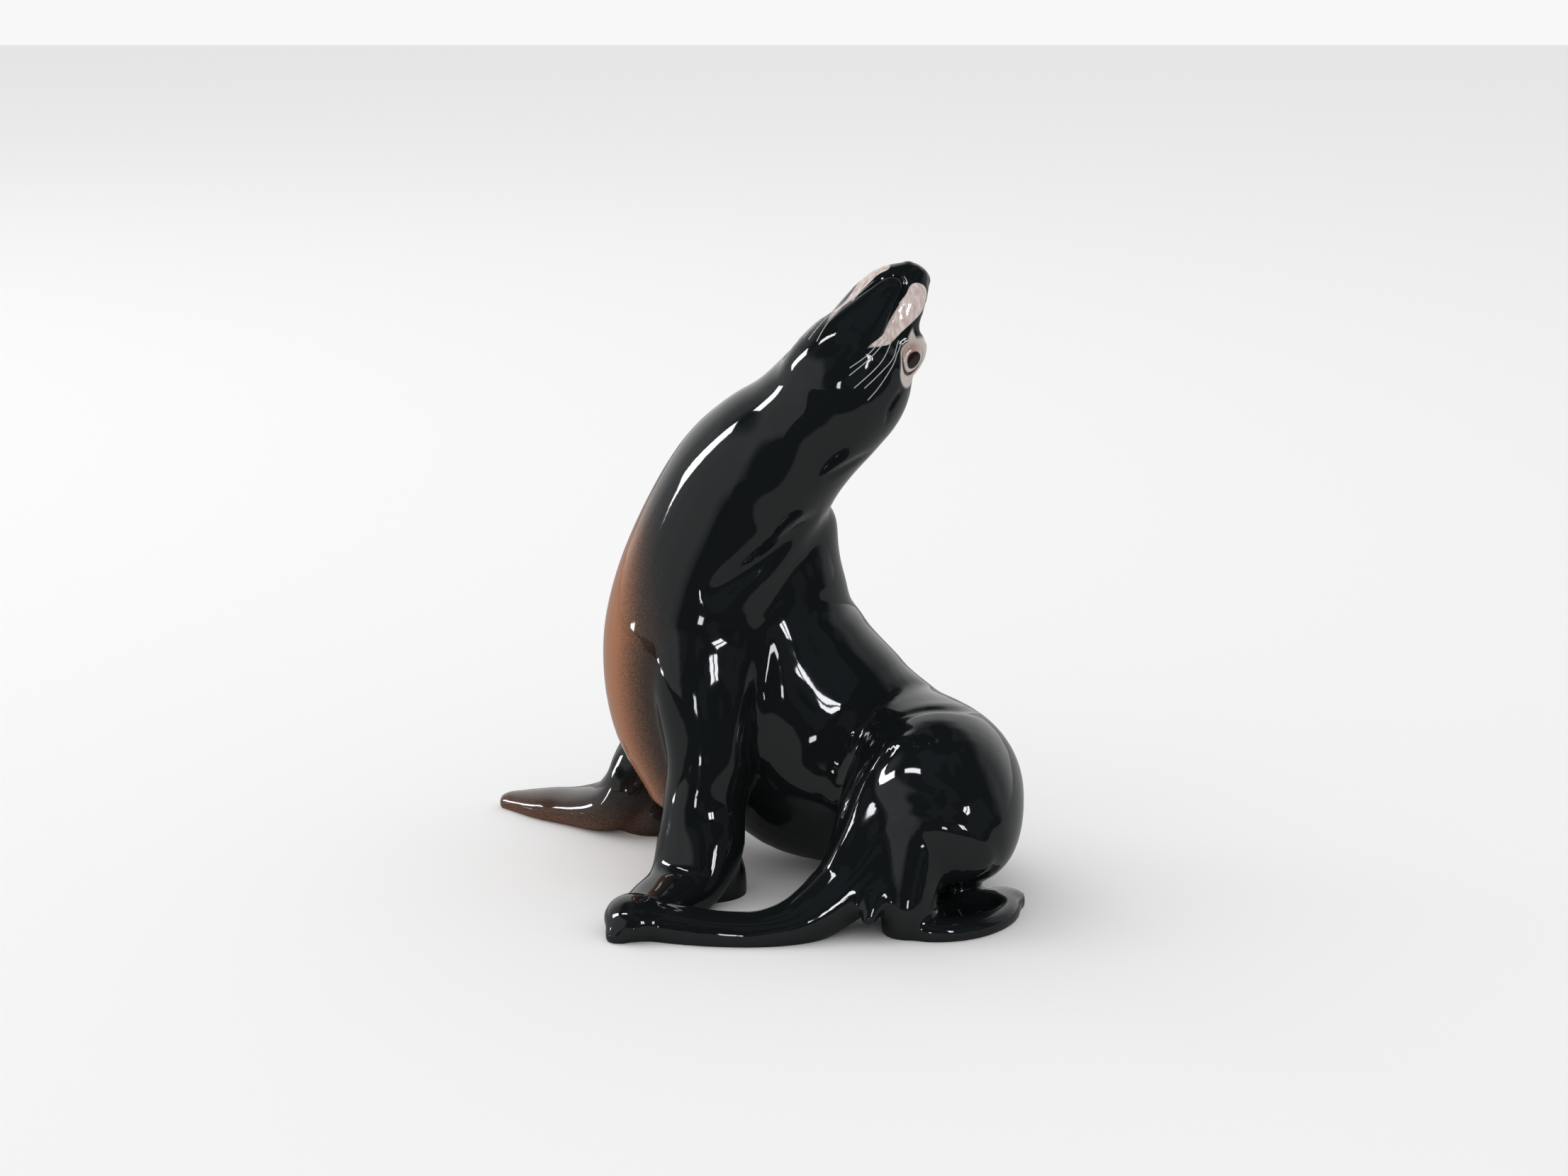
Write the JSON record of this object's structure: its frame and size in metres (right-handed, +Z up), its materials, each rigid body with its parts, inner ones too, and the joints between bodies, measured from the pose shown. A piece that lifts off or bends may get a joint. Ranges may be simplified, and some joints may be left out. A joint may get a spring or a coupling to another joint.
{
  "type": "porcelain sea lion figurine",
  "caption": "Glossy black glazed porcelain sea lion sitting up on its front flippers, neck thrown back, nose in the air, rear curled round, with brown shaded chest and pink lips and eye rings",
  "frame": {"origin": "centre of the bounding box's underside, on the plane that the flippers' soles and the rump rest on", "axes": "+Z up; the picture looks along +Y with +X to its right; the animal's chest faces -X, turned 17 degrees towards -Y, and its nose points up towards +X"},
  "size_m": [0.1344, 0.1104, 0.1532],
  "materials": {
    "black_glaze": "deep high-gloss near-black glaze over white porcelain, airbrushed brown on chest and flipper undersides, hand-painted pinkish lips and eye rings, bare ground soles"
  },
  "bodies": {
    "root": {"sea_lion": "black_glaze"}
  },
  "joints": []
}
